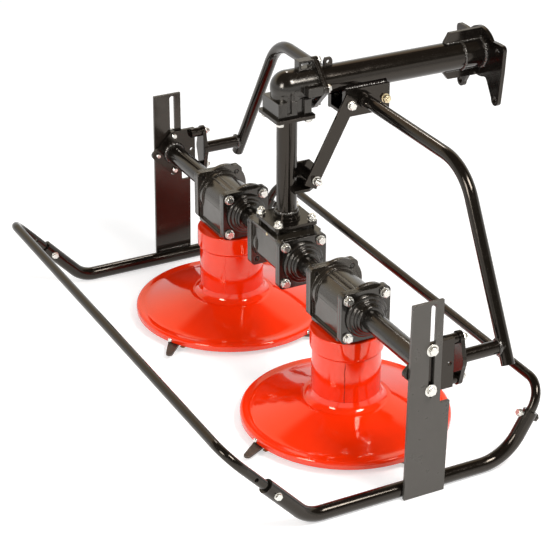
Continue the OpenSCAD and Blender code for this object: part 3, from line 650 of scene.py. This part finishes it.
oilPlug = {"x": 14, "y": -48, "over": 47, "long": 0.003, "foot": 0.0034, "tip": 0.003, "bevel": 0.0005}
plug = bmesh.new()
plugPlace = spot(oilPlug["x"], oilPlug["y"], beamMm + oilPlug["over"])
addRound(plug, frameAt(plugPlace, (0, -1, 0)), 0, oilPlug["long"], oilPlug["foot"], oilPlug["tip"], sides=20,
         bevel=oilPlug["bevel"])
finishPiece("oilPlug", plug, "yellowZinc", "frame")
print("fasteners placed")

weldShape = {"sides": 8, "ripple": 0.16, "pitch": 0.0052, "rough": 0.22}


def roughen(bm, bead, first=0):
    for vert in list(bm.verts)[first:]:
        push = noise.noise(vert.co * 190) * bead * weldShape["rough"]
        vert.co += vert.normal * push


def weldRing(bm, place, direction, radius, bead, share=1.0, start=0.0):
    at = frameAt(place, direction)
    first = len(bm.verts)
    upright = Matrix.Translation((radius, 0, 0)) @ Matrix.Rotation(math.pi / 2, 4, "X")
    made = bmesh.ops.create_circle(bm, segments=weldShape["sides"], radius=bead, matrix=upright)
    if start:
        bmesh.ops.rotate(bm, verts=made["verts"], cent=(0, 0, 0), matrix=Matrix.Rotation(start, 3, "Z"))
    loop = edgesOf(made["verts"])
    steps = max(12, int(2 * math.pi * radius * share / weldShape["pitch"] * 3))
    bmesh.ops.spin(bm, geom=loop, angle=2 * math.pi * share, steps=steps, axis=(0, 0, 1), cent=(0, 0, 0),
                   use_merge=share == 1.0)
    bm.verts.ensure_lookup_table()
    added = [bm.verts[i] for i in range(first, len(bm.verts))]
    for vert in added:
        turn = math.atan2(vert.co.y, vert.co.x)
        ripple = 1 + weldShape["ripple"] * math.sin(turn * radius / weldShape["pitch"] * 2 * math.pi)
        ring = Vector((math.cos(turn) * radius, math.sin(turn) * radius, 0))
        vert.co = ring + (vert.co - ring) * ripple
    bm.normal_update()
    roughen(bm, bead, first)
    bmesh.ops.transform(bm, matrix=at, verts=added)


def closeEnds(bm):
    bmesh.ops.holes_fill(bm, edges=[edge for edge in bm.edges if edge.is_boundary], sides=0)


def weldLine(bm, start, end, bead):
    at = frameAt(start, end - start)
    length = (end - start).length
    first = len(bm.verts)
    made = bmesh.ops.create_circle(bm, segments=weldShape["sides"], radius=bead)
    loop = edgesOf(made["verts"])
    steps = max(6, int(length / weldShape["pitch"] * 3))
    for step in range(steps):
        grown = bmesh.ops.extrude_edge_only(bm, edges=loop)
        verts = [item for item in grown["geom"] if isinstance(item, bmesh.types.BMVert)]
        bmesh.ops.translate(bm, verts=verts, vec=(0, 0, length / steps))
        loop = [item for item in grown["geom"] if isinstance(item, bmesh.types.BMEdge)
                and item.verts[0] in verts and item.verts[1] in verts]
    bm.verts.ensure_lookup_table()
    added = [bm.verts[i] for i in range(first, len(bm.verts))]
    for vert in added:
        taper = min(1, 0.35 + min(vert.co.z, length - vert.co.z) / (bead * 2))
        ripple = taper * (1 + weldShape["ripple"] * math.sin(vert.co.z / weldShape["pitch"] * 2 * math.pi))
        vert.co.x *= ripple
        vert.co.y *= ripple
    bm.normal_update()
    roughen(bm, bead, first)
    bmesh.ops.transform(bm, matrix=at, verts=added)


sideRings = [(524.5, 0, "out", 0.0205, 0.0042), (522, 71, "back", 0.0132, 0.0028),
             (522, 148.5, "back", 0.0132, 0.003)]  # x, y, direction, radius, bead
sideLines = [(532.6, -39, 36, 25.6, 0.0032), (25.5, 110, 201, 578.5, 0.0028)]  # x, from y, to y, height, bead
ribLines = {"x": 4.8, "from": 346, "to": 425, "off": 28.8, "bead": 0.0022}
middleRings = [((0, 0, 340.5), (0, 0, 1), 0.0205, 0.003), ((0, 0, 537), (0, 0, 1), 0.0205, 0.003),
               ((0, 63, driveMm), (0, 1, 0), 0.0288, 0.0032), ((0, 380, driveMm), (0, 1, 0), 0.0286, 0.0032),
               ((0, 426, driveMm), (0, 1, 0), 0.0290, 0.0042)]
columnSeal = {"height": 314, "radius": 0.0374, "bead": 0.0026, "share": 0.16, "start": math.radians(-75)}
welds = bmesh.new()
for side in (-1, 1):
    for x, y, way, radius, bead in sideRings:
        weldRing(welds, spot(side * x, y, beamMm), (side, 0, 0) if way == "out" else (0, 1, 0), radius, bead)
    for x, start, end, height, bead in sideLines:
        weldLine(welds, spot(side * x, start, height), spot(side * x, end, height), bead)
    for low in (-1, 1):
        height = driveMm + low * ribLines["off"]
        weldLine(welds, spot(side * ribLines["x"], ribLines["from"], height),
                 spot(side * ribLines["x"], ribLines["to"], height), ribLines["bead"])
for place, direction, radius, bead in middleRings:
    weldRing(welds, spot(*place), direction, radius, bead)
closeEnds(welds)
finishPiece("frameWelds", welds, "weldBead", "frame", smooth=60)
seal = bmesh.new()
weldRing(seal, spot(0, 0, columnSeal["height"]), (0, 0, 1), columnSeal["radius"], columnSeal["bead"],
         columnSeal["share"], columnSeal["start"])
closeEnds(seal)
finishPiece("columnSeal", seal, "sealant", "frame", smooth=60)
print("welds run")


def turnOnLathe(name, points, look, body, node, centre, steps=144):
    bm = bmesh.new()
    ring = [bm.verts.new((point.x / 1000, 0, point.y / 1000)) for point in roundCorners(points)]
    edges = [bm.edges.new((a, b)) for a, b in zip(ring, ring[1:] + ring[:1])]
    bmesh.ops.spin(bm, geom=ring + edges, angle=2 * math.pi, steps=steps, axis=(0, 0, 1), cent=(0, 0, 0),
                   use_merge=True)
    bmesh.ops.translate(bm, verts=bm.verts, vec=centre)
    piece = finishPiece(name, bm, look, body)
    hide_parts(node)
    return piece


# radius, height and rounding of each corner, in millimetres
discShape = [(13, 56, 0), (84, 55.5, 4), (181, 27.0, 12), (191.5, 27.9, 6), (198.6, 28.3, 3.5),
             (202, 24.5, 3.5), (202, 14, 1), (176, 14, 1), (176, 18, 1), (198, 18, 1), (198, 22, 2),
             (186, 21, 4), (84, 50, 4), (13, 50, 0)]
footShape = [(62, 55, 0), (84, 52.4, 0), (92, 51.2, 0), (70.5, 58, 30)]
drumShape = {"bore": 62, "body": 66, "collar": 70, "collarHigh": 38, "lid": 6, "lidBore": 13, "footTop": 74.5,
             "lip": 0.9, "lipHigh": 0.7, "lipRound": 0.4, "stepRound": 1.5, "topRound": 1.6, "boreRound": 2}
drumSeam = {"left": (-32, 0.0658, "seamShade"), "right": (-38, 0.0655, "drumRed"), "underTop": 42,
            "bead": 0.0011, "wander": 0.0016, "fade": 0.0018}


def drumProfile(top):
    shape = drumShape
    step = top - shape["collarHigh"]
    return footShape + [
        (shape["body"] - shape["lip"], shape["footTop"], 0),
        (shape["body"], shape["footTop"] + shape["lipHigh"], shape["lipRound"]),
        (shape["body"], step - 2, shape["stepRound"]), (shape["collar"], step + 1, shape["stepRound"]),
        (shape["collar"], top, shape["topRound"]), (shape["lidBore"], top, 0),
        (shape["lidBore"], top - shape["lid"], 0), (shape["bore"], top - shape["lid"], shape["boreRound"])]


def addSeam(label, side, centre, top):  # the hand-run seam wanders and fades in places
    seam = bmesh.new()
    angle, radius, look = drumSeam[label]
    turn = math.radians(angle)
    foot = centre + Vector((math.cos(turn) * radius, math.sin(turn) * radius, 0))
    weldLine(seam, foot + Vector((0, 0, drumShape["footTop"] / 1000)),
             foot + Vector((0, 0, (top - drumSeam["underTop"]) / 1000)), drumSeam["bead"])
    closeEnds(seam)
    across = Vector((-math.sin(turn), math.cos(turn), 0))
    out = (foot - centre).normalized()
    for vert in seam.verts:
        vert.co += across * noise.noise(Vector((0, side, vert.co.z * 55))) * drumSeam["wander"]
        vert.co -= out * max(0, noise.noise(Vector((5, side, vert.co.z * 80)))) * drumSeam["fade"]
    finishPiece("drumSeam" + label.capitalize(), seam, look, "rotor_" + label, smooth=60)


for label, side in (("left", 1), ("right", -1)):
    centre = spot(side * rotorMm, 0, 0)
    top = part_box("drum_" + label)[1][2] * 1000
    for part, points in (("drum", drumProfile(top)), ("disc", discShape)):
        turnOnLathe(part + label.capitalize(), points, "drumRed", "rotor_" + label, part + "_" + label, centre)
    addSeam(label, side, centre, top)
print("drums and discs turned")

knifePins = {"left": (-85, 5, 95, 185), "right": (-65, 25, 115, 205), "rim": 0.2005, "rimHigh": 0.0185,
             "circle": 0.186, "under": 0.0058, "pin": (0.0035, 0.0052, 0.0046, 0.0006),
             "nut": (0.0026, 0.0062, 0.0056, 0.0004)}  # length, radii and edge of pins and nuts
holderShape = {"from": 0.168, "to": 0.206, "wide": 0.017, "narrow": 0.009, "thick": 0.0016, "high": 0.0133,
               "turn": 9, "edge": 0.0005}


def addHolder(bm, centre, turn):  # the sprung plate beside each knife
    shape = holderShape
    length = shape["to"] - shape["from"]
    made = bmesh.ops.create_cube(bm, size=1, matrix=Matrix.Diagonal((length, shape["wide"], shape["thick"], 1)))
    for vert in made["verts"]:
        if vert.co.x > 0:
            vert.co.y *= shape["narrow"] / shape["wide"]
    edges = edgesOf(made["verts"])
    at = Matrix.Translation(centre) @ Matrix.Rotation(turn, 4, "Z")
    at = at @ Matrix.Translation((shape["from"] + length / 2, 0, shape["high"]))
    bmesh.ops.transform(bm, matrix=at, verts=made["verts"])
    bmesh.ops.bevel(bm, geom=edges, offset=shape["edge"], offset_type="OFFSET", segments=2, profile=0.5,
                    affect="EDGES", material=-1)


for label, side in (("left", 1), ("right", -1)):
    pins = bmesh.new()
    nuts = bmesh.new()
    holders = bmesh.new()
    centre = spot(side * rotorMm, 0, 0)
    for turn in knifePins[label]:
        out = Vector((math.cos(math.radians(turn)), math.sin(math.radians(turn)), 0))
        rim = centre + out * knifePins["rim"] + Vector((0, 0, knifePins["rimHigh"]))
        under = centre + out * knifePins["circle"] + Vector((0, 0, knifePins["under"]))
        for bm, place, direction, part in ((pins, rim, out, "pin"), (nuts, under, (0, 0, -1), "nut")):
            length, foot, tip, edge = knifePins[part]
            addRound(bm, frameAt(place, direction), 0, length, foot, tip, sides=24, bevel=edge)
        addHolder(holders, centre, math.radians(turn + holderShape["turn"]))
    finishPiece("knifePins" + label.capitalize(), pins, "zincPlate", "rotor_" + label)
    finishPiece("knifeNuts" + label.capitalize(), nuts, "yellowZinc", "rotor_" + label)
    finishPiece("knifeHolders" + label.capitalize(), holders, "springSteel", "rotor_" + label, smooth=30)
print("knife pins set")
